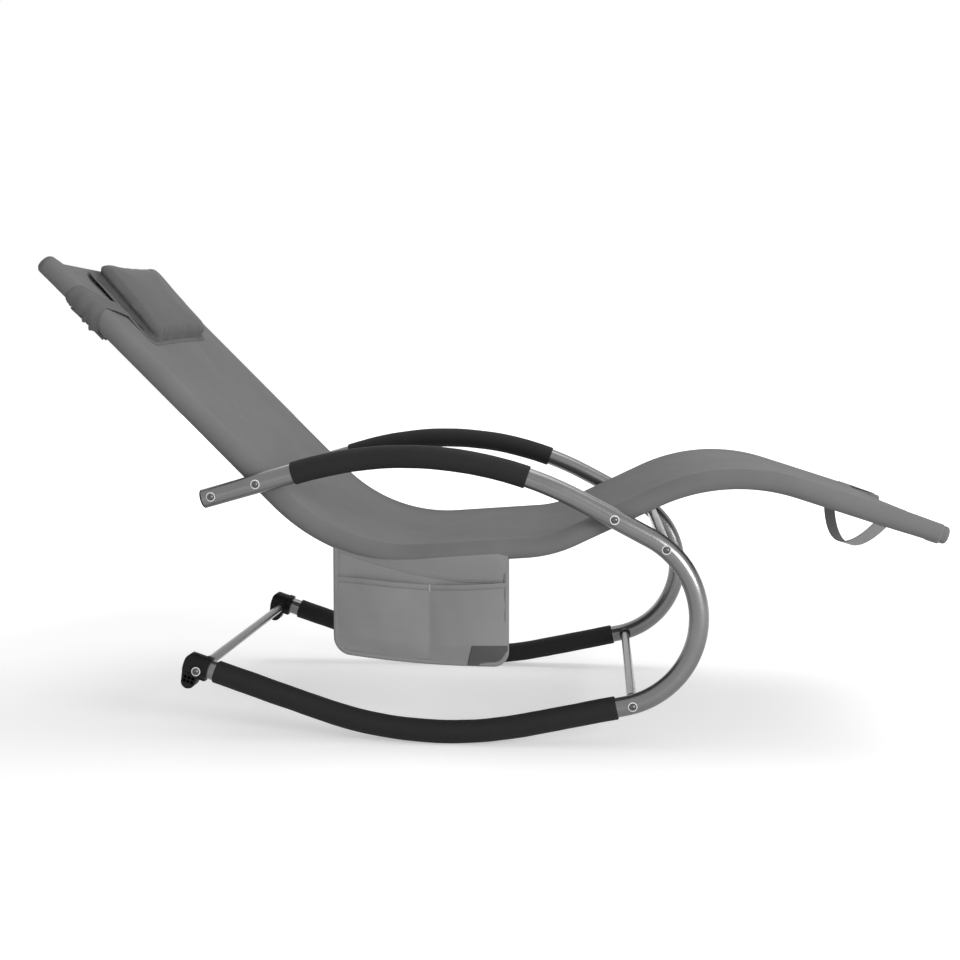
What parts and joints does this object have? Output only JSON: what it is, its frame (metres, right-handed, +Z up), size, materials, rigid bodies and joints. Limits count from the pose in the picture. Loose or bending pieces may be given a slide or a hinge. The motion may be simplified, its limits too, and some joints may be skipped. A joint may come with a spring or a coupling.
{
  "type": "rocking chaise lounge",
  "caption": "Rocking chaise lounge: tube hoops that rock on the floor carry bent rails with a stretched sling, head pillow, side bag and leg strap.",
  "frame": {"origin": "on the floor, under the middle of the whole object", "axes": "+X from the head end to the foot end, +Y to the sitter's left, +Z up"},
  "size_m": [1.4834, 0.621, 0.7983],
  "materials": {
    "hoop_steel": "silver grey paint, satin",
    "foam": "black foam, matte",
    "black_plastic": "black moulded plastic",
    "insert_brass": "plain brass",
    "bolt_steel": "zinc plated",
    "washer_white": "white plastic",
    "rail_steel": "dark paint",
    "sling_fabric": "woven dark grey sling fabric",
    "pillow_fabric": "dark grey fabric",
    "bag_fabric": "dark grey fabric",
    "webbing": "black webbing"
  },
  "bodies": {
    "frame": {"right_arm_tube": "hoop_steel", "left_arm_tube": "hoop_steel", "right_front_bend": "hoop_steel", "left_front_bend": "hoop_steel", "right_runner_tube": "hoop_steel", "left_runner_tube": "hoop_steel", "rear_upper_crossbar": "hoop_steel", "front_upper_crossbar": "hoop_steel", "front_lower_crossbar": "hoop_steel", "rear_lower_crossbar": "hoop_steel", "right_arm_foam": "foam", "left_arm_foam": "foam", "right_runner_foam": "foam", "left_runner_foam": "foam", "arm_plugs": "black_plastic", "right_rear_foot": "black_plastic", "left_rear_foot": "black_plastic", "crossbar_cups": "black_plastic", "rail_plugs": "black_plastic", "rail_saddles": "black_plastic", "crossbar_inserts": "insert_brass", "rail_nuts": "insert_brass", "crossbar_bolts": "bolt_steel", "rail_bolts": "bolt_steel", "crossbar_washers": "washer_white", "rail_washers": "washer_white", "right_seat_rail": "rail_steel", "left_seat_rail": "rail_steel", "head_spreader": "rail_steel", "foot_spreader": "rail_steel", "right_sleeve": "sling_fabric", "left_sleeve": "sling_fabric", "sling_sheet": "sling_fabric", "bag_panel": "bag_fabric", "bag_pocket": "bag_fabric", "bag_binding": "bag_fabric", "leg_strap": "webbing"},
    "pillow": {"pillow_cushion": "pillow_fabric", "pillow_band": "pillow_fabric", "pillow_elastic": "pillow_fabric"}
  },
  "joints": [
    {"name": "pillow_slide", "type": "slide", "parent": "frame", "child": "pillow", "axis": [0.7083, 0, -0.7059], "range_m": [0, 0.23]}
  ]
}
